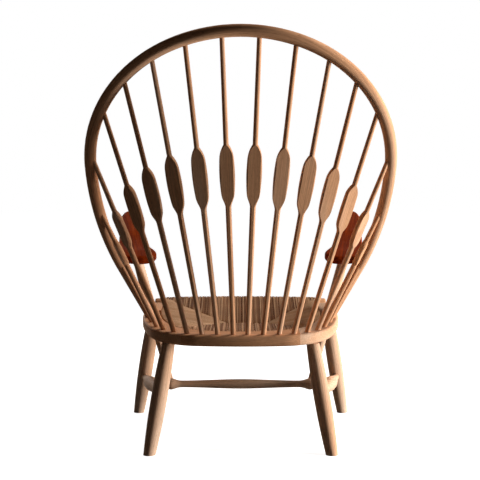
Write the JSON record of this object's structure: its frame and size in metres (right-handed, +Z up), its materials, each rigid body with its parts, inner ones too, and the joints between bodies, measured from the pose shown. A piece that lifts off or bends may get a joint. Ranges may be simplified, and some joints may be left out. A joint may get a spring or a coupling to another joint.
{
  "type": "armchair",
  "caption": "Low hoop-backed armchair with a fan of flattened back sticks, paddle arms, turned splayed legs, an H stretcher and a woven cord seat.",
  "frame": {"origin": "on the floor, under the middle of the chair's outer box", "axes": "+Z up, -Y the way the sitter faces, +X the sitter's left"},
  "size_m": [0.7664, 0.7646, 1.0296],
  "materials": {
    "ash": "satin",
    "teak": "satin",
    "paper_cord": "matte"
  },
  "bodies": {
    "root": {"arm_dowel_left": "ash", "arm_dowel_right": "ash", "arm_post_left": "ash", "arm_post_right": "ash", "armrest_left": "teak", "armrest_right": "teak", "back_hoop": "ash", "back_stick_1_left": "ash", "back_stick_1_right": "ash", "back_stick_2_left": "ash", "back_stick_2_right": "ash", "back_stick_3_left": "ash", "back_stick_3_right": "ash", "back_stick_4_left": "ash", "back_stick_4_right": "ash", "back_stick_5_left": "ash", "back_stick_5_right": "ash", "back_stick_6_left": "ash", "back_stick_6_right": "ash", "back_stick_7_left": "ash", "back_stick_7_right": "ash", "back_stick_8_left": "ash", "back_stick_8_right": "ash", "cord_seat": "paper_cord", "cross_stretcher": "ash", "front_leg_left": "ash", "front_leg_right": "ash", "front_rail": "ash", "rail_dowels": "ash", "rear_leg_left": "ash", "rear_leg_right": "ash", "seat_frame_left": "ash", "seat_frame_rear": "ash", "seat_frame_right": "ash", "side_stretcher_left": "ash", "side_stretcher_right": "ash", "weaving_rail_left": "ash", "weaving_rail_rear": "ash", "weaving_rail_right": "ash"}
  },
  "joints": []
}
